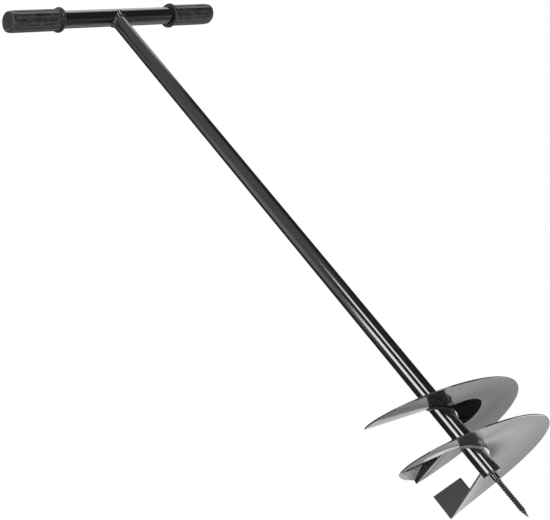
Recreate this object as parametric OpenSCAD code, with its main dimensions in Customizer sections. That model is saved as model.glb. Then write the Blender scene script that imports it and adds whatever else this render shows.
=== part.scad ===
// Hand soil auger: a straight tube with a T-handle, two spiral flights and a pilot screw.
// Millimetres, +Z up along the shaft. The origin is the centre of the shaft's lower end,
// and the crossbar lies along X. The spiral falls as the angle about +Z grows.

/* [Shaft] */
// Outside diameter of the shaft tube
shaft_d = 24.5; // [22:0.5:28]
// Wall thickness of the shaft tube
shaft_wall = 2; // [1.5:0.25:3]
// Height of the crossbar's axis above the shaft's lower end
shaft_len = 993; // [600:1:1200]

/* [Handle] */
// Outside diameter of the crossbar tube
handle_d = 30.5; // [26:0.5:32]
// Wall thickness of the crossbar tube
handle_wall = 2; // [1.5:0.25:3]
// Overall length of the handle over both grips
handle_len = 473; // [360:2:560]
// Distance of the handle's middle from the shaft's axis along X
handle_shift = -5.5; // [-6:0.5:6]
// Length of the left grip, collar included
left_grip_len = 112; // [90:1:130]
// Length of the right grip, collar included
right_grip_len = 101; // [90:1:130]
// Outside diameter of a grip's body
grip_d = 36.2; // [35:0.2:38]
// Diameter of the collar at a grip's inner end
collar_d = 43.6; // [40:0.2:50]
// Length of the collar
collar_len = 4; // [3:0.5:8]
// Number of shallow ribs along each grip
grip_ribs = 16; // [8:2:24]

/* [Flights] */
// Radius of both flights' rims
flight_r = 98; // [80:1:110]
// Thickness of the flight plate
flight_t = 2; // [1.5:0.25:3]
// Angle about the shaft at which the upper flight starts
upper_start = 140; // [130:1:150]
// Angle that the upper flight turns through
upper_sweep = 319; // [316:1:322]
// Height of the upper flight's rim at its start, quarters and end
upper_rim_z = [136, 114, 86, 63.5, 45.5]; // [0:0.5:160]
// Height of the upper flight's root at its start, quarters and end
upper_root_z = [117.5, 110.5, 96, 79, 65]; // [0:0.5:160]
// Angle about the shaft at which the lower flight starts
lower_start = 97; // [95:1:98]
// Angle that the lower flight turns through
lower_sweep = 352; // [340:1:354]
// Height of the lower flight's rim at its start, quarters and end
lower_rim_z = [51, 54, 33, 9, -16.5]; // [-30:0.5:100]
// Height of the lower flight's root at its start, quarters and end
lower_root_z = [54, 49.7, 36, 21, 10]; // [4:0.5:100]
// Rise of the fold across the lower flight's starting corner
fold_rise = 12; // [0:0.5:14]
// Radius at which that fold meets the starting edge
fold_r = 70; // [60:1:80]
// Angle over which the fold runs out to the rim
fold_sweep = 53; // [30:1:70]

/* [Cutter plate] */
// Radius of the cutter plate's inner edge
cutter_r = 44; // [35:1:60]
// Height of the cutter plate's level top edge
cutter_top_z = 20; // [10:1:30]
// Thickness of the cutter plate and of the step plate
plate_t = 3; // [2:0.5:4]

/* [Pilot screw] */
// Diameter of the screw's plain shank
screw_d = 9; // [8:0.5:12]
// Length of plain shank below the shaft's lower end
shank_len = 8; // [6:1:14]
// Length of the neck that narrows from the shank to the thread
neck_len = 6; // [3:1:8]
// Overall length of the screw below the shaft's lower end
screw_len = 69; // [55:1:90]
// Diameter over the thread's crests
thread_d = 7.6; // [6:0.2:8]
// Thread pitch
screw_pitch = 3.5; // [3:0.25:6]
// Depth of the thread
thread_depth = 0.8; // [0.6:0.1:1.4]
// Length of the pointed tip
tip_len = 12; // [8:1:20]

/* [Welds] */
// Leg of the weld bead round the crossbar joint
handle_bead = 4; // [3:0.5:6]
// Leg of the weld beads along the flights
flight_bead = 3.5; // [2:0.5:4]
// Leg of the bead along the cutter plate
cutter_bead = 2.6; // [2:0.2:4]
// Leg of the bead along the step plate
step_bead = 1.6; // [1:0.2:2.4]
// Share by which a bead's leg swells and shrinks
ripple = 0.12; // [0:0.01:0.2]

/* [Hidden] */

shaft_r = shaft_d / 2;
handle_r = handle_d / 2;
grip_r = grip_d / 2;
collar_r = collar_d / 2;
gap = 0.05;
root_r = shaft_r + gap;

// Thickness of a grip's closed end, the rounding of its edges, and its vent
grip_end_t = 4;
grip_round = 2;
bevel_share = 0.3;
collar_bevel = 1;
vent_r = 2.2;
tube_len = handle_len - 2 * grip_end_t;
handle_left = handle_shift - handle_len / 2;
handle_right = handle_shift + handle_len / 2;

// Ribs: radius of the rib's round, how deep it sits, and how far it stops short of the end
rib_r = 1.1;
rib_sunk = 0.6;
rib_stop = 6;

// Plug in the shaft's foot
plug_h = 9;
plug_r = shaft_r - shaft_wall - gap;
plug_recess = 1;
plug_bead = 1.6;

// The screw's end inside the plug is turned down to form a shoulder
spigot_r = screw_d / 2 - 0.5;
screw_bead = 2.2;
thread_rows = 128;
thread_sides = 16;
// A higher power gives a sharper crest
thread_power = 1.4;
// Share of its size that the thread keeps at the very point
point_share = 0.06;

// Inner radius of the step plate, its least height, and the angle at which it stands
step_r = 48;
step_least = 0.4;
step_a = lower_start + 1;
// Angle of the lower flight's leading edge, where the cutter plate stands
cutter_a = lower_start + lower_sweep;
// How far the straight beads stay from the ends of their plates
bead_stop = 2;
// Turn of the ripple from one station of a straight bead to the next
ripple_turn = 75;
// Clearance of the cutter plate's bead over the twisted flight
cutter_bead_gap = 0.35;

// Radial divisions of the flight plates, and degrees a step along plates and beads
flight_rings = 4;
flight_step = 5;
bead_step = 4;
// Ripples a turn along the flight beads and round the crossbar bead
flight_ripples = 20;
handle_ripples = 12;
// How far the middle of a bead's face lies from the root, as a share of the leg
bead_hollow = 0.42;

black = [0.06, 0.06, 0.065];
steel_grey = [0.22, 0.22, 0.23];
rubber = [0.13, 0.13, 0.14];

// Size of a rippled bead at a phase in degrees.
function leg(size, phase) = size * (1 + ripple * sin(phase));

// Joins rows of points, each a closed section, into one closed solid.
module loft(rows, ring = false) {
    n = len(rows[0]);
    m = len(rows);
    walls = [for (i = [0 : (ring ? m : m - 1) - 1], j = [0 : n - 1])
        let (k = (i + 1) % m, l = (j + 1) % n)
        each [[i * n + j, i * n + l, k * n + l], [i * n + j, k * n + l, k * n + j]]];
    first_cap = [for (j = [1 : n - 2]) [0, j + 1, j]];
    last_cap = [for (j = [1 : n - 2]) [(m - 1) * n, (m - 1) * n + j, (m - 1) * n + j + 1]];
    polyhedron([for (row = rows) each row], ring ? walls : concat(walls, first_cap, last_cap));
}

function polar(r, a, z) = [r * cos(a), r * sin(a), z];

// Smooth curve through five heights spaced evenly from t = 0 to t = 1.
function through(h, t) =
    let (x = 4 * t)
    h[0] * (x - 1) * (x - 2) * (x - 3) * (x - 4) / 24
    - h[1] * x * (x - 2) * (x - 3) * (x - 4) / 6
    + h[2] * x * (x - 1) * (x - 3) * (x - 4) / 4
    - h[3] * x * (x - 1) * (x - 2) * (x - 4) / 6
    + h[4] * x * (x - 1) * (x - 2) * (x - 3) / 24;

// Height of a flight's middle surface, t along the spiral and r from the axis.
function upper_z(t, r) =
    let (s = (r - shaft_r) / (flight_r - shaft_r))
    (1 - s) * through(upper_root_z, t) + s * through(upper_rim_z, t);

// The lower flight has a folded corner at its start. The fold runs out to the rim.
function fold(t, s) =
    let (u = t * lower_sweep / fold_sweep,
        s0 = (fold_r - shaft_r) / (flight_r - shaft_r),
        crest = s0 + (1 - s0) * u)
    u >= 1 ? 0 : fold_rise * (1 - u) * (s < crest ? s / crest : (1 - s) / (1 - crest));

function lower_z(t, r) =
    let (s = (r - shaft_r) / (flight_r - shaft_r))
    (1 - s) * through(lower_root_z, t) + s * through(lower_rim_z, t) + fold(t, s);

function flight_z(upper, t, r) = upper ? upper_z(t, r) : lower_z(t, r);
function flight_a(upper, t) =
    upper ? upper_start + upper_sweep * t : lower_start + lower_sweep * t;

// Radii at which a flight's plate is divided. The lower one has a station on its fold.
function stations(upper, t) =
    let (u = min(1, t * lower_sweep / fold_sweep), crest = fold_r + (flight_r - fold_r) * u)
    upper || u >= 1
        ? [for (i = [0 : flight_rings]) root_r + (flight_r - root_r) * i / flight_rings]
        : concat([for (i = [0 : flight_rings - 1])
            root_r + (min(crest, flight_r - 1) - root_r) * i / (flight_rings - 1)], [flight_r]);

module flight(upper) {
    steps = ceil((upper ? upper_sweep : lower_sweep) / flight_step);
    loft([for (i = [0 : steps])
        let (t = i / steps, a = flight_a(upper, t), radii = stations(upper, t), last = flight_rings)
        concat([for (r = radii) polar(r, a, flight_z(upper, t, r) + flight_t / 2)],
            [for (j = [last : -1 : 0])
                polar(radii[j], a, flight_z(upper, t, radii[j]) - flight_t / 2)])]);
}

// Fillet bead under a flight's root. Its leg swells and shrinks a little along its length.
module flight_bead_loft(upper) {
    steps = ceil((upper ? upper_sweep : lower_sweep) / bead_step);
    loft([for (i = [0 : steps])
        let (t = i / steps, a = flight_a(upper, t), b = leg(flight_bead, a * flight_ripples),
            z = flight_z(upper, t, shaft_r) - flight_t / 2 - gap,
            z2 = flight_z(upper, t, shaft_r + b) - flight_t / 2 - gap)
        [polar(root_r, a, z), polar(root_r + b, a, z2),
            polar(root_r + b * bead_hollow, a, z - b * bead_hollow), polar(root_r, a, z - b)]]);
}

// Round rubber grip along +X from its collar, with a closed end, a vent and shallow ribs.
module grip(grip_len) {
    difference() {
        union() {
            rotate([90, 0, 90])
                rotate_extrude($fn = 96)
                    polygon([[0, 0], [collar_r - collar_bevel, 0], [collar_r, collar_bevel],
                        [collar_r, collar_len - collar_bevel],
                        [collar_r - collar_bevel, collar_len],
                        [grip_r, collar_len + collar_bevel], [grip_r, grip_len - grip_round],
                        [grip_r - grip_round * bevel_share, grip_len - grip_round * bevel_share],
                        [grip_r - grip_round, grip_len], [0, grip_len]]);
            for (i = [0 : grip_ribs - 1])
                rotate([i * 360 / grip_ribs, 0, 0])
                    translate([collar_len, 0, grip_r - rib_sunk])
                        rotate([0, 90, 0])
                            cylinder(r = rib_r, h = grip_len - collar_len - rib_stop, $fn = 24);
        }
        translate([-1, 0, 0])
            rotate([0, 90, 0])
                cylinder(r = handle_r + gap, h = grip_len - grip_end_t + 1, $fn = 96);
        rotate([0, 90, 0])
            cylinder(r = vent_r, h = grip_len + 1, $fn = 32);
    }
}

module shaft_tube() {
    color(black)
        difference() {
            cylinder(r = shaft_r, h = shaft_len, $fn = 96);
            translate([0, 0, -1])
                cylinder(r = shaft_r - shaft_wall, h = shaft_len + 2, $fn = 96);
            translate([-shaft_d, 0, shaft_len])
                rotate([0, 90, 0])
                    cylinder(r = handle_r + gap, h = 2 * shaft_d, $fn = 96);
        }
}

module handle_tube() {
    color(black)
        translate([handle_shift - tube_len / 2, 0, shaft_len])
            rotate([0, 90, 0])
                difference() {
                    cylinder(r = handle_r, h = tube_len, $fn = 96);
                    translate([0, 0, -1])
                        cylinder(r = handle_r - handle_wall, h = tube_len + 2, $fn = 96);
                }
}

module grip_left() {
    color(rubber)
        translate([handle_left + left_grip_len, 0, shaft_len])
            mirror([1, 0, 0])
                grip(left_grip_len);
}

module grip_right() {
    color(rubber)
        translate([handle_right - right_grip_len, 0, shaft_len])
            grip(right_grip_len);
}

// Height of the crossbar's underside at a distance y from its axis, with a hair's gap.
function saddle_z(y) = shaft_len - sqrt(max(1, pow(handle_r + gap, 2) - y * y));

// Bead that follows the saddle where the shaft meets the underside of the crossbar.
module handle_weld() {
    color(black)
        loft([for (a = [0 : 5 : 355])
            let (b = leg(handle_bead, a * handle_ripples),
                z = saddle_z(root_r * sin(a)), z2 = saddle_z((root_r + b) * sin(a)))
            [polar(root_r, a, z), polar(root_r, a, z - b),
                polar(root_r + b / 2, a, (z + z2 - b) / 2), polar(root_r + b, a, z2)]],
            ring = true);
}

module upper_flight() {
    color(black) flight(true);
}

module lower_flight() {
    color(black) flight(false);
}

module upper_flight_weld() {
    color(black) flight_bead_loft(true);
}

module lower_flight_weld() {
    color(black) flight_bead_loft(false);
}

// Radial slab between two height curves, from radius r0 to the rim, at angle a.
module radial_slab(r0, r1, a, t) {
    steps = 8;
    rotate([0, 0, a])
        loft([for (i = [0 : steps])
            let (r = r0 + (r1 - r0) * i / steps)
            [[r, -t / 2, slab_low(r)], [r, t / 2, slab_low(r)],
                [r, t / 2, slab_high(r)], [r, -t / 2, slab_high(r)]]]);
}

// The step plate stands on the upper flight's end and reaches the lower flight's start.
function slab_low(r) = upper_z(1, r) + flight_t / 2 + gap;
function slab_high(r) = max(lower_z(0, r) - flight_t / 2 - gap, slab_low(r) + step_least);

module step_plate() {
    color(black) radial_slab(step_r, flight_r, step_a, plate_t / 2);
}

// Bead along the outer face of the step plate, on the upper flight's end.
module step_weld() {
    color(black)
        rotate([0, 0, step_a])
            loft([for (i = [0 : 16])
                let (r = step_r + (flight_r - 2 * bead_stop - step_r) * i / 16,
                    y = -plate_t / 4 - gap, z = slab_low(r), b = leg(step_bead, i * ripple_turn))
                [[r, y, z], [r, y, z + b], [r, y - b, z]]]);
}

function edge_z(r) = lower_z(1, r);

// Upright plate whose lower edge follows the lower flight's slanting leading edge.
module cutter_plate() {
    color(steel_grey)
        rotate([0, 0, cutter_a])
            translate([0, plate_t + gap, 0])
                rotate([90, 0, 0])
                    linear_extrude(plate_t)
                        polygon([[cutter_r, edge_z(cutter_r) - flight_t / 2],
                            [flight_r, edge_z(flight_r) - flight_t / 2],
                            [flight_r, cutter_top_z], [cutter_r, cutter_top_z]]);
}

// Bead between the plate's back and the top of the flight.
module cutter_weld() {
    color(black)
        rotate([0, 0, cutter_a])
            loft([for (i = [0 : 20])
                let (r = cutter_r + bead_stop + (flight_r - cutter_r - 2 * bead_stop) * i / 20,
                    z = edge_z(r) + flight_t / 2 + cutter_bead_gap,
                    b = leg(cutter_bead, i * ripple_turn))
                [[r, 0, z], [r, 0, z + b], [r, -b / 2, z + b * bead_hollow], [r, -b, z]]]);
}

module end_plug() {
    color(black)
        translate([0, 0, plug_recess])
            difference() {
                cylinder(r = plug_r, h = plug_h, $fn = 64);
                translate([0, 0, -1])
                    cylinder(r = spigot_r + gap, h = plug_h + 2, $fn = 64);
            }
}

// Low ring of weld in the recess round the plug.
module end_plug_weld() {
    color(black)
        rotate_extrude($fn = 64)
            polygon([[plug_r - plug_bead, plug_recess - gap], [plug_r, plug_recess - gap],
                [plug_r, 2 * gap], [plug_r - plug_bead / 2, 4 * gap]]);
}

// Thread profile, 0 at the groove and 1 at the crest, for a phase in turns.
function crest(phase) = let (f = phase - floor(phase)) pow(1 - abs(2 * f - 1), thread_power);

module pilot_screw() {
    thread_len = screw_len - shank_len;
    core = thread_d / 2 - thread_depth;
    color(black) {
        translate([0, 0, -shank_len])
            cylinder(r = screw_d / 2, h = shank_len, $fn = 64);
        translate([0, 0, -gap])
            cylinder(r = spigot_r, h = plug_recess + plug_h + gap, $fn = 64);
        loft([for (i = [0 : thread_rows])
            let (d = thread_len * i / thread_rows, taper = min(1, (thread_len - d) / tip_len),
                flare = max(0, 1 - d / neck_len), run_in = 1 - flare)
            [for (j = [0 : thread_sides - 1])
                let (a = j * 360 / thread_sides,
                    h = thread_depth * crest(d / screw_pitch - a / 360) * run_in
                        + (screw_d / 2 - gap - core) * flare)
                polar((core + h) * (point_share + (1 - point_share) * taper), a,
                    -shank_len + gap - d)]]);
    }
}

// Small ring of weld round the screw at the plug's face, above the screw's shoulder.
module screw_weld() {
    color(black)
        rotate_extrude($fn = 64)
            polygon([[spigot_r + gap, plug_recess - gap], [spigot_r + screw_bead, plug_recess - gap],
                [spigot_r + screw_bead / 2, gap], [spigot_r + gap, gap]]);
}

shaft_tube();
handle_tube();
grip_left();
grip_right();
handle_weld();
upper_flight();
lower_flight();
upper_flight_weld();
lower_flight_weld();
step_plate();
step_weld();
cutter_plate();
cutter_weld();
end_plug();
end_plug_weld();
pilot_screw();
screw_weld();
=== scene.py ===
import math

import bpy
import numpy as np
from mathutils import Euler, Matrix, Vector


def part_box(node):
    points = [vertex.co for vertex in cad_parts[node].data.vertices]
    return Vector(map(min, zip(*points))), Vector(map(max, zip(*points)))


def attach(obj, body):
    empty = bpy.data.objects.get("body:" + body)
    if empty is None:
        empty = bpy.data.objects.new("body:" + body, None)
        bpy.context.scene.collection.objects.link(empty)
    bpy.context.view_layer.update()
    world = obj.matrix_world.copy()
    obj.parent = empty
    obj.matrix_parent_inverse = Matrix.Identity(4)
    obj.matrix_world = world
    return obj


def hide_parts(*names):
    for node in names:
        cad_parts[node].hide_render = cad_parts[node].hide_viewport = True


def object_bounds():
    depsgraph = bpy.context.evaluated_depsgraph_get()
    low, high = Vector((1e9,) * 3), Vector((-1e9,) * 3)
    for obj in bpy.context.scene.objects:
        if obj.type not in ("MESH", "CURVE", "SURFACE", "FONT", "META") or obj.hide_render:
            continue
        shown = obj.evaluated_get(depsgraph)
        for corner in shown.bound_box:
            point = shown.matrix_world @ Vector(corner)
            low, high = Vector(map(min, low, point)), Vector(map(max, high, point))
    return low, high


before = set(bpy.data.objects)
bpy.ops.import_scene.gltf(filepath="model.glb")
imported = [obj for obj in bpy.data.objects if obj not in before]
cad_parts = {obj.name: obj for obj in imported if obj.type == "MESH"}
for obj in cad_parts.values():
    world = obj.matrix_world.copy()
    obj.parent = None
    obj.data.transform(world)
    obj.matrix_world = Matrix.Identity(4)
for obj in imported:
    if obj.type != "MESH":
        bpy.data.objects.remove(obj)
cad_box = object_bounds()

# ---------------------------------------------------------------- driving dimensions, metres
# The shaft stands on the z axis with its foot at z = 0. The crossbar and grips lie along x.
MM = 0.001
shaft_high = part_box("shaft_tube")[1]
handle_low, handle_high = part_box("handle_tube")
left_low, left_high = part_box("grip_left")
right_low, right_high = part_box("grip_right")
screw_low, screw_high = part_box("pilot_screw")
cutter_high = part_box("cutter_plate")[1]

GAP = 0.05 * MM          # left between parts that touch
BEAD_GAP = 0.02 * MM     # left between a flight's weld bead and the shaft

SHAFT_R = shaft_high.x
SHAFT_WALL = 2.0 * MM
HANDLE_R = (handle_high.z - handle_low.z) / 2
HANDLE_Z = (handle_high.z + handle_low.z) / 2
HANDLE_WALL = 2.0 * MM

GRIP_R = 18.1 * MM
GRIP_END_WALL = 4.0 * MM
GRIP_RIBS = 16
RIB_HEIGHT = 0.75 * MM
RIB_WIDTH = 0.13         # share of the space from rib to rib
COLLAR_R = right_high.y
COLLAR_LEN = 4.0 * MM

# A flight starts at an angle and sweeps round from it, in degrees. Its rim and root are curves
# through five heights in mm, spaced evenly along the sweep. "fold" is how far in mm the lower
# flight's first corner is raised, along a crest that FOLD_R and FOLD_SWEEP place.
FLIGHT_R = 98.0 * MM
FLIGHT_T = 2.0 * MM
RIM_EDGE = 0.5 * MM
UPPER = {"start": 140.0, "sweep": 319.0, "fold": 0.0,
         "rim": (136.0, 114.0, 86.0, 63.5, 45.5),
         "root": (117.5, 110.5, 96.0, 79.0, 65.0)}
LOWER = {"start": 97.0, "sweep": 352.0, "fold": 12.0,
         "rim": (51.0, 54.0, 33.0, 9.0, -16.5),
         "root": (54.0, 49.7, 36.0, 21.0, 10.0)}
FOLD_R = 70.0 * MM
FOLD_SWEEP = 53.0

# Outlines of the weld beads, in shares of the bead's leg. The one under a flight goes out from
# the shaft and down from the flight. The one under the crossbar goes out from the shaft, along
# the crossbar's curve (1 is where the bead ends) and down from that curve.
FLIGHT_BEAD = ((1.0, 0.0), (0.80, 0.22), (0.52, 0.50), (0.22, 0.80))
HANDLE_BEAD = ((0.0, 0.0, 1.0), (0.34, 1 / 3, 0.80), (0.66, 2 / 3, 0.50), (0.90, 1.0, 0.20),
               (1.0, 1.0, 0.0))

CUTTER_T = 3.0 * MM
CUTTER_R = 44.0 * MM
STEP_T = 1.5 * MM
STEP_R = 48.0 * MM

SCREW_R = screw_high.x
SCREW_TIP = screw_low.z
PLUG_TOP = screw_high.z
SPIGOT_R = SCREW_R - 0.5 * MM
SHANK_LEN = 8.0 * MM
NECK_LEN = 6.0 * MM
TIP_LEN = 12.0 * MM
THREAD_R = 3.8 * MM
THREAD_DEPTH = 0.8 * MM
SCREW_PITCH = 3.5 * MM


# ---------------------------------------------------------------- node helpers
class Shader:
    """A node material or world, with short calls for making and joining its nodes."""

    def __init__(self, owner):
        owner.use_nodes = True
        self.tree = owner.node_tree
        self.tree.nodes.clear()

    def node(self, kind, inputs=None, **settings):
        made = self.tree.nodes.new(kind)
        for name, value in settings.items():
            setattr(made, name, value)
        for name, value in (inputs or {}).items():
            self.set(made, name, value)
        return made

    def set(self, node, name, value):
        socket = node.inputs[name]
        if isinstance(value, bpy.types.NodeSocket):
            self.tree.links.new(value, socket)
        else:
            socket.default_value = value

    def math(self, operation, *values):
        made = self.node("ShaderNodeMath", operation=operation)
        for index, value in enumerate(values):
            self.set(made, index, value)
        return made.outputs[0]

    def plus(self, a, b):
        return self.math("ADD", a, b)

    def minus(self, a, b):
        return self.math("SUBTRACT", a, b)

    def times(self, first, *others):
        for other in others:
            first = self.math("MULTIPLY", first, other)
        return first

    def ramp(self, value, low, high, start=0.0, end=1.0):
        """Smooth change from start to end as value goes from low to high."""
        made = self.node("ShaderNodeMapRange", {"Value": value, "From Min": low, "From Max": high,
                                                "To Min": start, "To Max": end},
                         interpolation_type="SMOOTHSTEP")
        return made.outputs["Result"]

    def noise(self, scale, detail=4.0, rough=0.5):
        made = self.node("ShaderNodeTexNoise", {"Scale": scale, "Detail": detail, "Roughness": rough,
                                                "Vector": self.place()})
        return made.outputs["Fac"]

    def place(self):
        return self.node("ShaderNodeTexCoord").outputs["Object"]

    def normal(self):
        return self.node("ShaderNodeNewGeometry").outputs["Normal"]

    def camera_ray(self):
        """1 for what the camera sees directly, 0 for what is seen in reflections."""
        return self.node("ShaderNodeLightPath").outputs["Is Camera Ray"]

    def parts(self, vector):
        """The x, y and z of a vector."""
        return self.node("ShaderNodeSeparateXYZ", {0: vector}).outputs

    def angle(self, y, x, unit):
        """Angle of (x, y) from the x axis, counted in a unit that is given in radians."""
        return self.math("DIVIDE", self.math("ARCTAN2", y, x), unit)

    def mix(self, factor, a, b):
        return self.node("ShaderNodeMix", {"Factor": factor, 6: a, 7: b}, data_type="RGBA").outputs[2]

    def bump(self, height, strength, distance):
        return self.node("ShaderNodeBump", {"Height": height, "Strength": strength,
                                            "Distance": distance}).outputs["Normal"]

    def to_surface(self, kind, socket):
        """Sends a shader to the surface of the material or world."""
        self.tree.links.new(socket, self.node(kind).inputs["Surface"])


# ---------------------------------------------------------------- materials
FINE_BUMP = 0.2 * MM
WELD_BUMP = 0.5 * MM


def grey(value):
    """A grey with a trace of blue."""
    return (value, value, value * 1.02, 1.0)


def surface(name, build):
    """A material whose build function returns the inputs of its Principled shader."""
    made = bpy.data.materials.new(name)
    shader = Shader(made)
    principled = shader.node("ShaderNodeBsdfPrincipled", build(shader))
    shader.to_surface("ShaderNodeOutputMaterial", principled.outputs[0])
    return made


def paint(rough, peel):
    """Sprayed black paint: faintly cloudy, with orange peel and patches of duller gloss."""
    def build(shader):
        cloud = shader.noise(scale=14.0, detail=5.0)
        fine = shader.noise(scale=900.0, detail=2.0)
        dull = shader.ramp(shader.noise(scale=55.0, detail=6.0, rough=0.6), 0.5, 0.8)
        return {"Base Color": shader.mix(cloud, grey(0.006), grey(0.010)),
                "Roughness": shader.plus(rough, shader.times(dull, 0.06)),
                "IOR": 1.5,
                "Normal": shader.bump(fine, peel, FINE_BUMP)}
    return build


tube_paint = paint(rough=0.05, peel=0.10)
flight_paint = paint(rough=0.02, peel=0.03)


def sheen_corner(shader):
    """Flight paint on the underside of the lower flight's folded corner, given a painted sheen there: a
    lighter colour, with raised roughness.
    """
    inputs = flight_paint(shader)
    x, y, _ = shader.parts(shader.place())
    radius = shader.math("SQRT", shader.plus(shader.times(x, x), shader.times(y, y)))
    turn = math.radians(LOWER["start"])
    along = shader.plus(shader.times(x, math.cos(turn)), shader.times(y, math.sin(turn)))
    across = shader.minus(shader.times(y, math.cos(turn)), shader.times(x, math.sin(turn)))
    folded = shader.angle(across, along, math.radians(FOLD_SWEEP))
    crest = shader.plus(FOLD_R, shader.times(folded, FLIGHT_R - FOLD_R))
    outside = shader.ramp(shader.minus(radius, crest), 0.5 * MM, 3 * MM)
    begun = shader.ramp(folded, -0.01, 0.0)
    below = shader.ramp(shader.parts(shader.normal())[2], -0.3, -0.1, 1.0, 0.0)
    # Painted sheen: the folded corner's underside is made lighter grey and rougher.
    wear_and_sheen = shader.times(outside, begun, below)
    inputs["Base Color"] = shader.mix(wear_and_sheen, inputs["Base Color"], grey(0.15))
    inputs["Roughness"] = shader.plus(inputs["Roughness"], shader.times(wear_and_sheen, 0.3))
    return inputs


def rubber(shader):
    """Moulded rubber: fine grain and a dusty bloom in patches, with painted shade on the end faces."""
    grain = shader.noise(scale=1800.0, detail=3.0, rough=0.6)
    bloom = shader.ramp(shader.noise(scale=110.0, detail=6.0, rough=0.7), 0.42, 0.66)
    # Painted shade: faces that look along the grip are made darker and less shiny.
    facing_along = shader.math("ABSOLUTE", shader.parts(shader.normal())[0])
    shaded_end = shader.ramp(facing_along, 0.8, 0.97)
    body = shader.mix(bloom, grey(0.008), grey(0.034))
    return {"Base Color": shader.mix(shaded_end, body, grey(0.008)),
            "Roughness": shader.plus(0.36, shader.times(bloom, 0.14)),
            "IOR": shader.minus(1.37, shader.times(shaded_end, 0.1)),
            "Normal": shader.bump(grain, 0.35, FINE_BUMP)}


def weld(shader):
    """Painted weld bead: glossy, with a slightly uneven skin."""
    skin = shader.noise(scale=420.0, rough=0.6)
    return {"Base Color": shader.mix(shader.noise(scale=120.0), grey(0.012), grey(0.035)),
            "Roughness": 0.12,
            "IOR": 1.5,
            "Normal": shader.bump(skin, 0.1, WELD_BUMP)}


def plate(shader):
    """Plain steel plate under a thin matt coat, with faint mill marks."""
    marks = shader.noise(scale=260.0, detail=5.0, rough=0.7)
    return {"Base Color": shader.mix(marks, grey(0.016), grey(0.026)),
            "Roughness": shader.plus(0.5, shader.times(marks, 0.2)),
            "IOR": 1.22,
            "Normal": shader.bump(marks, 0.15, FINE_BUMP)}


def screw_steel(shader):
    """Black-oxide screw: dark and shiny, with lighter, duller specks of wear."""
    wear_and_sheen = shader.ramp(shader.noise(scale=700.0, rough=0.7), 0.55, 0.75)
    return {"Base Color": shader.mix(wear_and_sheen, grey(0.003), grey(0.02)),
            "IOR": 1.34,
            "Roughness": shader.plus(0.03, shader.times(wear_and_sheen, 0.08)),
            "Normal": shader.bump(shader.noise(scale=1500.0), 0.1, FINE_BUMP)}


BLACK_PAINT = surface("black_paint", tube_paint)
LOWER_PAINT = surface("flight_paint_lower", sheen_corner)
FLIGHT_PAINT = surface("flight_paint", flight_paint)
PLATE_PAINT = surface("plate_paint", plate)
WELD_BEAD = surface("weld_bead", weld)
SCREW_STEEL = surface("screw_steel", screw_steel)
GRIP_RUBBER = surface("grip_rubber", rubber)


# ---------------------------------------------------------------- mesh helpers
SMOOTH_BELOW = math.radians(32)


def piece(name, points, faces, material, node):
    """Makes a mesh object that stands for a CAD node and rides on the root body."""
    mesh = bpy.data.meshes.new(name)
    mesh.from_pydata([tuple(p) for p in points], [], faces)
    mesh.validate()
    mesh.materials.append(material)
    mesh.polygons.foreach_set("use_smooth", [True] * len(mesh.polygons))
    mesh.set_sharp_from_angle(angle=SMOOTH_BELOW)
    mesh.update()
    made = bpy.data.objects.new(name, mesh)
    bpy.context.scene.collection.objects.link(made)
    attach(made, "root")
    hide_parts(node)


def loft(rows, ring=False):
    """Points and faces of a closed solid through rows of points, each a closed section."""
    rows = np.asarray(rows, float)
    row_count, across = rows.shape[:2]
    index = np.arange(row_count * across).reshape(row_count, across)
    faces = []
    for row in range(row_count if ring else row_count - 1):
        next_row = (row + 1) % row_count
        for spot in range(across):
            next_spot = (spot + 1) % across
            faces.append((index[row, spot], index[row, next_spot],
                          index[next_row, next_spot], index[next_row, spot]))
    if not ring:
        faces.append(tuple(index[0, ::-1]))
        faces.append(tuple(index[-1, :]))
    return rows.reshape(-1, 3), [tuple(int(v) for v in face) for face in faces]


def full_turn(count):
    """Angles spaced evenly round a circle, in radians."""
    return np.linspace(0, 2 * math.pi, count, endpoint=False)


def lathe_rows(profile, sides, place):
    """Rows round an axis: place(radius, along, angle) puts each profile point in space."""
    return [[place(r, along, a) for r, along in profile] for a in full_turn(sides)]


def round_corner(centre, radius, start, end, steps=5):
    """Points of an arc in a profile plane, from start to end in degrees."""
    return [(centre[0] + radius * math.cos(a), centre[1] + radius * math.sin(a))
            for a in np.radians(np.linspace(start, end, steps))]


def about_z(r, z, a):
    return (r * math.cos(a), r * math.sin(a), z)


def about_x(r, x, a):
    return (x, r * math.cos(a), HANDLE_Z + r * math.sin(a))


def saddle(r, a):
    """Height of the crossbar's underside at radius r and angle a, or about its axis past its sides."""
    return HANDLE_Z - math.sqrt(max(1e-9, HANDLE_R ** 2 - (r * math.sin(a)) ** 2))


def rippled(leg, a, *waves):
    """Size of a hand-laid bead at angle a. A wave is (share of the leg, count in a turn, phase)."""
    return leg * (1 + sum(share * math.sin(a * count + phase) for share, count, phase in waves))


# ---------------------------------------------------------------- flights
def through(heights, t):
    """Smooth curve through heights in mm that are spaced evenly from t = 0 to t = 1."""
    x = (len(heights) - 1) * t
    total = 0
    for k, height in enumerate(heights):
        term = height
        for j in range(len(heights)):
            if j != k:
                term = term * (x - j) / (k - j)
        total = total + term
    return total * MM


def flight_point(flight, t, r):
    """Point on a flight's middle surface, t of the way along its sweep and r from the axis."""
    across = (r - SHAFT_R) / (FLIGHT_R - SHAFT_R)
    z = (1 - across) * through(flight["root"], t) + across * through(flight["rim"], t)
    folded = t * flight["sweep"] / FOLD_SWEEP
    if folded < 1 and flight["fold"]:
        inner = (FOLD_R - SHAFT_R) / (FLIGHT_R - SHAFT_R)
        crest = inner + (1 - inner) * folded
        lift = across / crest if across < crest else (1 - across) / (1 - crest)
        z += flight["fold"] * MM * (1 - folded) * lift
    a = math.radians(flight["start"] + flight["sweep"] * t)
    return np.array(about_z(r, z, a))


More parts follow.
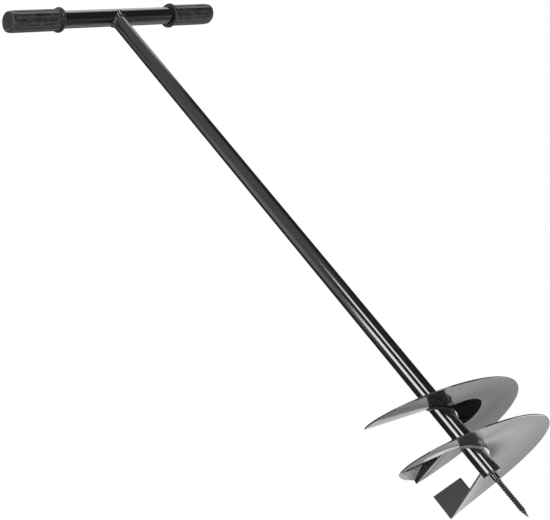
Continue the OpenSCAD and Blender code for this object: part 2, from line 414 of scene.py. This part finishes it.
def flight_normal(flight, t, r):
    """Upward normal of the flight's middle surface, from its slope over a short step."""
    t_step = 0.002
    r_step = 0.4 * MM
    t0 = max(0.0, t - t_step)
    t1 = min(1.0, t + t_step)
    along = flight_point(flight, t1, r) - flight_point(flight, t0, r)
    out = flight_point(flight, t, r + r_step) - flight_point(flight, t, r - r_step)
    normal = np.cross(out, along)
    normal /= np.linalg.norm(normal)
    return normal if normal[2] > 0 else -normal


def flight_radii(flight, t, count, inner_share=0.68):
    """Stations from root to rim. While the fold lasts, one station lies on its crest."""
    root = SHAFT_R + GAP
    rim = FLIGHT_R - RIM_EDGE
    folded = t * flight["sweep"] / FOLD_SWEEP
    if flight["fold"] and folded < 1:
        crest = min(FOLD_R + (FLIGHT_R - FOLD_R) * folded, rim - 2 * RIM_EDGE)
        inner = int(count * inner_share)
        return np.concatenate([np.linspace(root, crest, inner, endpoint=False),
                               np.linspace(crest, rim, count - inner)])
    return np.linspace(root, rim, count)


def flight_mesh(name, flight, material, steps=300, count=34):
    """Spiral plate of nearly one turn, with a rounded rim."""
    half = FLIGHT_T / 2
    rim_angles = np.radians(np.linspace(80, -80, 9))
    rows = []
    for i in range(steps + 1):
        t = i / steps
        radii = flight_radii(flight, t, count)
        mid = [flight_point(flight, t, r) for r in radii]
        up = [flight_normal(flight, t, r) for r in radii]
        out = mid[-1] - mid[-2]
        out /= np.linalg.norm(out)
        top = [p + n * half for p, n in zip(mid, up)]
        low = [p - n * half for p, n in zip(mid, up)]
        edge = [mid[-1] + up[-1] * half * math.sin(b) + out * RIM_EDGE * math.cos(b)
                for b in rim_angles]
        rows.append(top + edge + low[::-1])
    points, faces = loft(rows)
    piece(name, points, faces, material, name)


def flight_weld_mesh(name, flight, node, leg=3.5 * MM, steps=520):
    """Fillet bead under a flight's root, with the ripples of a hand-laid weld."""
    inner = SHAFT_R + BEAD_GAP
    rows = []
    for i in range(steps + 1):
        t = i / steps
        a = math.radians(flight["start"] + flight["sweep"] * t)
        size = rippled(leg, a, (0.05, 20, 0.0), (0.02, 57, 1.0))
        root = flight_point(flight, t, SHAFT_R)[2] - FLIGHT_T / 2
        face = [about_z(SHAFT_R + size * out, root - size * down, a) for out, down in FLIGHT_BEAD]
        rows.append([about_z(inner, root, a)] + face + [about_z(inner, root - size, a)])
    points, faces = loft(rows)
    piece(name, points, faces, WELD_BEAD, node)


# ---------------------------------------------------------------- shaft, handle and grips
def shaft_mesh(sides=144):
    """Tube with a rounded lower edge, coped at the top to fit the crossbar."""
    inner = SHAFT_R - SHAFT_WALL
    edge = 0.5 * MM
    first_ring = 20 * MM
    last_ring = 10 * MM          # below the coped top
    rows = []
    for a in full_turn(sides):
        top = saddle(SHAFT_R, a) - GAP
        profile = [(inner, edge), (inner + edge * 0.3, 0.0)]
        profile += round_corner((SHAFT_R - edge, edge), edge, -90, 0)
        profile += [(SHAFT_R, z) for z in np.linspace(first_ring, top - last_ring, 12)]
        profile += [(SHAFT_R, top), (inner, saddle(inner, a) - GAP)]
        rows.append([about_z(r, z, a) for r, z in profile])
    points, faces = loft(rows, ring=True)
    piece("shaft", points, faces, BLACK_PAINT, "shaft_tube")


def handle_mesh(sides=144):
    """Crossbar tube with softened ends."""
    inner = HANDLE_R - HANDLE_WALL
    x0 = handle_low.x
    x1 = handle_high.x
    edge = 0.4 * MM
    profile = [(inner, x0 + edge), (inner + edge, x0), (HANDLE_R - edge, x0)]
    profile += [(HANDLE_R, x) for x in np.linspace(x0 + edge, x1 - edge, 14)]
    profile += [(HANDLE_R - edge, x1), (inner + edge, x1), (inner, x1 - edge)]
    points, faces = loft(lathe_rows(profile, sides, about_x), ring=True)
    piece("crossbar", points, faces, BLACK_PAINT, "handle_tube")


def handle_weld_mesh(leg=4.4 * MM, steps=360):
    """Bead along the saddle between shaft and crossbar, laid in overlapping scales."""
    rows = []
    for a in full_turn(steps):
        size = rippled(leg, a, (0.14, 12, 0.0), (0.08, 31, 0.7))
        z0 = saddle(SHAFT_R, a)
        z1 = saddle(SHAFT_R + size, a)
        face = [about_z(SHAFT_R + size * out, z0 + (z1 - z0) * along - size * down, a)
                for out, along, down in HANDLE_BEAD]
        rows.append([about_z(SHAFT_R, z0, a)] + face)
    points, faces = loft(rows, ring=True)
    piece("crossbar_bead", points, faces, WELD_BEAD, "handle_weld")


def grip_profile(length, soft):
    """Outline of a grip's wall as (radius, distance from its collar end)."""
    bore = HANDLE_R + GAP
    lead_in = 0.4 * MM
    lip = 1.2 * MM
    vent = 2.2 * MM
    chamfer = 0.3 * MM
    border = GRIP_R - 4.0 * MM
    recess = length - 0.8 * MM
    collar = round_corner((COLLAR_R - lip, lip), lip, -80, 0)
    collar += round_corner((COLLAR_R - lip, COLLAR_LEN - lip), lip, 0, 80)
    foot = [(GRIP_R + 0.8 * MM, COLLAR_LEN + 0.3 * MM), (GRIP_R, COLLAR_LEN + 1.2 * MM)]
    body = [(GRIP_R, x) for x in np.linspace(COLLAR_LEN + 2 * MM, length - soft, 26)[:-1]]
    shoulder = round_corner((GRIP_R - soft, length - soft), soft, 0, 90, 7)
    face = [(border, length), (border - 1 * MM, recess), (vent + chamfer, recess), (vent, recess - chamfer)]
    inside = [(vent, length - GRIP_END_WALL), (bore, length - GRIP_END_WALL), (bore, lead_in),
              (bore + lead_in, 0.0)]
    return collar + foot + body + shoulder + face + inside


def grip_mesh(name, node, collar_x, end_x, sides=320):
    """Moulded grip with a collar, shallow ribs along it, and a recessed, vented end face."""
    length = abs(end_x - collar_x)
    side = 1 if end_x > collar_x else -1
    soft = 2.2 * MM
    slack = 0.1 * MM
    fade_in = 4 * MM
    fade_out = 7 * MM
    faded = length - 2 * MM

    def rib(x, a):
        turn = (a / (2 * math.pi) * GRIP_RIBS) % 1.0
        crest = math.exp(-((turn - 0.5) / RIB_WIDTH) ** 2)
        fade = min(1.0, max(0.0, (x - COLLAR_LEN) / fade_in))
        fade *= min(1.0, max(0.0, (faded - x) / fade_out))
        return RIB_HEIGHT * crest * fade

    def place(r, x, a):
        if r > GRIP_R - slack and COLLAR_LEN + 1 * MM < x < length - soft + slack:
            r = r + rib(x, a)
        return (collar_x + side * x, r * math.cos(a), HANDLE_Z + r * math.sin(a))

    points, faces = loft(lathe_rows(grip_profile(length, soft), sides, place), ring=True)
    piece(name, points, faces, GRIP_RUBBER, node)


# ---------------------------------------------------------------- plates and screw
def slab(angle, thickness, low, high, r0, r1, steps=24):
    """Points and faces of a radial plate between two height curves, with softened edges."""
    a = math.radians(angle)
    radial = np.array([math.cos(a), math.sin(a), 0.0])
    side = np.array([-math.sin(a), math.cos(a), 0.0])
    up = np.array([0.0, 0.0, 1.0])
    half = thickness / 2
    soft = 0.4 * MM
    rows = []
    for i in range(steps + 1):
        r = r0 + (r1 - r0) * i / steps
        z0 = low(r)
        z1 = high(r)
        inset = min(soft, (z1 - z0) / 4)
        ring = [(-half, z0 + inset), (-half, z1 - inset), (-half + soft, z1), (half - soft, z1),
                (half, z1 - inset), (half, z0 + inset), (half - soft, z0), (-half + soft, z0)]
        rows.append([radial * r + side * y + up * z for y, z in ring])
    return loft(rows)


def cutter_mesh():
    """Flat plate standing on the lower flight's leading edge."""
    end = LOWER["start"] + LOWER["sweep"]
    clear = math.degrees((CUTTER_T / 2 + GAP) / FLIGHT_R)

    def foot(r):
        return flight_point(LOWER, 1.0, r)[2] - FLIGHT_T / 2

    def top(r):
        return cutter_high.z

    points, faces = slab(end + clear, CUTTER_T, foot, top, CUTTER_R, FLIGHT_R)
    piece("cutter", points, faces, PLATE_PAINT, "cutter_plate")


def step_mesh():
    """Plate that closes the step between the upper flight's end and the lower flight's start."""
    least = 0.4 * MM

    def foot(r):
        return flight_point(UPPER, 1.0, r)[2] + FLIGHT_T / 2

    def top(r):
        return max(flight_point(LOWER, 0.0, r)[2] - FLIGHT_T / 2, foot(r) + least)

    points, faces = slab(LOWER["start"] + 1, STEP_T, foot, top, STEP_R, FLIGHT_R)
    piece("step", points, faces, FLIGHT_PAINT, "step_plate")


def screw_mesh(sides=72, thread_rows=480):
    """Pilot screw: spigot in the plug, plain shank, narrowing neck, fine thread and point."""
    core = THREAD_R - THREAD_DEPTH
    thread_len = -SCREW_TIP - SHANK_LEN
    soft = 0.3 * MM
    crest_power = 1.4
    point_share = 0.05           # the point's width, as a share of the full width
    angles = full_turn(sides)
    stem = [(SPIGOT_R, PLUG_TOP), (SPIGOT_R, 0.0), (SCREW_R - soft, 0.0), (SCREW_R, -soft),
            (SCREW_R, -SHANK_LEN / 2), (SCREW_R, -SHANK_LEN)]
    rows = [[about_z(r, z, a) for a in angles] for r, z in stem]
    for i in range(1, thread_rows + 1):
        down = thread_len * i / thread_rows
        taper = min(1.0, (thread_len - down) / TIP_LEN)
        flare = max(0.0, 1 - down / NECK_LEN)
        row = []
        for a in angles:
            phase = (down / SCREW_PITCH - a / (2 * math.pi)) % 1.0
            crest = (1 - abs(2 * phase - 1)) ** crest_power
            r = core + THREAD_DEPTH * crest * (1 - flare) + (SCREW_R - core) * flare
            row.append(about_z(r * (point_share + (1 - point_share) * taper), -SHANK_LEN - down, a))
        rows.append(row)
    points, faces = loft(rows)
    piece("screw", points, faces, SCREW_STEEL, "pilot_screw")


# ---------------------------------------------------------------- assembly
# CAD nodes whose meshes are shown as they are, and their new materials.
KEPT_NODES = {"end_plug": BLACK_PAINT, "end_plug_weld": WELD_BEAD, "screw_weld": WELD_BEAD,
              "step_weld": WELD_BEAD, "cutter_weld": WELD_BEAD}

shaft_mesh()
handle_mesh()
handle_weld_mesh()
grip_mesh("left_grip", "grip_left", left_high.x, left_low.x)
grip_mesh("right_grip", "grip_right", right_low.x, right_high.x)
flight_mesh("upper_flight", UPPER, FLIGHT_PAINT)
flight_mesh("lower_flight", LOWER, LOWER_PAINT)
flight_weld_mesh("upper_bead", UPPER, "upper_flight_weld")
flight_weld_mesh("lower_bead", LOWER, "lower_flight_weld")
cutter_mesh()
step_mesh()
screw_mesh()
for node, material in KEPT_NODES.items():
    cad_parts[node].data.materials.clear()
    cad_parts[node].data.materials.append(material)


# ---------------------------------------------------------------- stage
DEGREE = math.radians(1)
WHITE = (1, 1, 1, 1)
FLOOR_Z = cad_box[0].z - 0.5 * MM
FLOOR_R = 1.25
FLOOR_SIDES = 96
PALE = grey(0.86)
CARD_TURN = 100                               # degrees from the camera's azimuth
CARD_POWER = 11.0
STRIP_FADE = 4                                # degrees of fade at a strip's lower edge
CAMERA_AT = Vector((-1.322, -0.911, -0.170))
CAMERA_TURN = (121.01, 24.20, -17.41)         # degrees about x, then y, then z
CAMERA_AZ = math.degrees(math.atan2(CAMERA_AT.y, CAMERA_AT.x))
CAMERA_LENS = 65.85                           # mm, on a sensor 36 mm wide
CAMERA_SHIFT = {"shift_x": 0.713, "shift_y": 0.161}


def card(shader, away):
    """Glow of a bright card on the floor, a little over a quarter turn right of the camera."""
    x, y, _ = shader.parts(shader.place())
    azimuth = shader.angle(y, x, DEGREE)
    aside = shader.math("ABSOLUTE", shader.minus(azimuth, CAMERA_AZ + CARD_TURN))
    across = shader.ramp(aside, 25, 38, 1.0, 0.0)
    near = shader.ramp(away, 0.07, 0.10)
    far = shader.ramp(away, 0.26, 0.34, 1.0, 0.0)
    return shader.times(across, near, far, CARD_POWER)


def floor_material():
    """Plain and pale to the camera, clear from below. To reflections it shows a painted pool of light that
    darkens away from the middle, and a painted glow.
    """
    made = bpy.data.materials.new("floor")
    shader = Shader(made)
    away = shader.node("ShaderNodeVectorMath", {0: shader.place()}, operation="LENGTH").outputs["Value"]
    seen = shader.camera_ray()
    # Painted pool of light: in reflections the floor darkens from pale to grey away from the middle.
    painted_pool = shader.mix(shader.ramp(away, 0.22, 0.9), PALE, grey(0.28))
    # Painted glow: the floor emits light near the middle and on a card, only for reflections.
    glow = shader.plus(shader.ramp(away, 0.09, 0.24, 1.7, 0.05), card(shader, away))
    lit = shader.node("ShaderNodeBsdfPrincipled",
                      {"Base Color": shader.mix(seen, painted_pool, PALE),
                       "Roughness": 1.0,
                       "Specular IOR Level": 0.0,
                       "Emission Color": WHITE,
                       "Emission Strength": shader.times(glow, shader.minus(1.0, seen))})
    clear = shader.node("ShaderNodeBsdfTransparent")
    back = shader.node("ShaderNodeNewGeometry").outputs["Backfacing"]
    either = shader.node("ShaderNodeMixShader", {0: back, 1: lit.outputs[0], 2: clear.outputs[0]})
    shader.to_surface("ShaderNodeOutputMaterial", either.outputs[0])
    return made


def floor():
    """Floor just under the screw's tip. The photo's camera is lower still, and sees through it."""
    mesh = bpy.data.meshes.new("floor")
    corners = [about_z(FLOOR_R, 0.0, a) for a in full_turn(FLOOR_SIDES)]
    mesh.from_pydata(corners, [], [tuple(range(FLOOR_SIDES))])
    mesh.materials.append(floor_material())
    made = bpy.data.objects.new("floor", mesh)
    made.location = (0, 0, FLOOR_Z)
    bpy.context.scene.collection.objects.link(made)


def studio():
    """White backdrop for the camera; for everything else a dim room with soft strips of light."""
    world = bpy.data.worlds.new("studio")
    bpy.context.scene.world = world
    shader = Shader(world)
    x, y, z = shader.parts(shader.node("ShaderNodeTexCoord").outputs["Generated"])
    azimuth = shader.angle(y, x, DEGREE)
    height = shader.math("DIVIDE", shader.math("ARCSINE", z), DEGREE)

    def strip(turned, half_width, soft, low, high, fade, power):
        """Light from low to high, centred at an azimuth counted from the camera's, in degrees."""
        aside = shader.math("WRAP", shader.minus(azimuth, CAMERA_AZ + turned), 180.0, -180.0)
        across = shader.ramp(shader.math("ABSOLUTE", aside), half_width, half_width + soft, 1.0, 0.0)
        above_low = shader.ramp(height, low - STRIP_FADE, low)
        below_high = shader.ramp(height, high, high + fade, 1.0, 0.0)
        return shader.times(across, above_low, below_high, power)

    lights = [
        strip(0, 181, 1, 62, 90, 1, 3.1),         # overhead, all round
        strip(-10, 70, 25, 20, 50, 8, 0.8),       # broad and faint, above the camera
        strip(-63, 15, 20, 16, 24, 8, 1.2),       # low on the camera's left
        strip(180, 55, 20, -90, -2, 6, 1.0),      # beyond the object, past the floor's edge
        strip(0, 30, 15, -50, -14, 6, 3.0),       # below the camera, past the floor's edge
        strip(135, 30, 15, 44, 56, 6, 0.5),       # high on the right, faint
        strip(112, 25, 12, 34, 52, 6, 2.2),       # high on the right, brighter
        strip(-37, 13, 5, -4, 14.7, 2, 17.0),     # bright and wide, left of the camera
        strip(25, 7, 5, -4, 17, 2, 17.0),         # bright and narrow, right of the camera
    ]
    total = 0.05
    for light in lights:
        total = shader.plus(total, light)
    seen = shader.camera_ray()
    strength = shader.plus(seen, shader.times(shader.minus(1.0, seen), total))
    background = shader.node("ShaderNodeBackground", {"Color": WHITE, "Strength": strength})
    shader.to_surface("ShaderNodeOutputWorld", background.outputs[0])


def shift_when_rolled(made, channel, amount):
    """Shifts the frame while the camera keeps its own roll. Stood upright, it has no shift."""
    curve = made.data.driver_add(channel)
    for modifier in list(curve.modifiers):
        curve.modifiers.remove(modifier)
    curve.driver.type = "AVERAGE"
    roll = curve.driver.variables.new()
    roll.type = "TRANSFORMS"
    roll.targets[0].id = made
    roll.targets[0].transform_type = "ROT_Y"
    roll.targets[0].rotation_mode = "XYZ"
    roll.targets[0].transform_space = "WORLD_SPACE"
    own_roll = math.radians(CAMERA_TURN[1])
    nearly = own_roll * 0.9
    for angle, value in ((0.0, 0.0), (nearly, amount), (own_roll, amount)):
        curve.keyframe_points.insert(angle, value).interpolation = "LINEAR"


def camera():
    """The camera looks up at the flights from just below them, with its frame shifted."""
    data = bpy.data.cameras.new("camera")
    data.sensor_width = 36.0
    data.lens = CAMERA_LENS
    data.clip_end = 50
    made = bpy.data.objects.new("camera", data)
    turn = Euler([math.radians(a) for a in CAMERA_TURN], "XYZ")
    made.matrix_world = Matrix.Translation(CAMERA_AT) @ turn.to_matrix().to_4x4()
    bpy.context.scene.collection.objects.link(made)
    bpy.context.scene.camera = made
    for channel, amount in CAMERA_SHIFT.items():
        shift_when_rolled(made, channel, amount)


floor()
studio()
camera()
bpy.context.scene.view_settings.view_transform = "Standard"
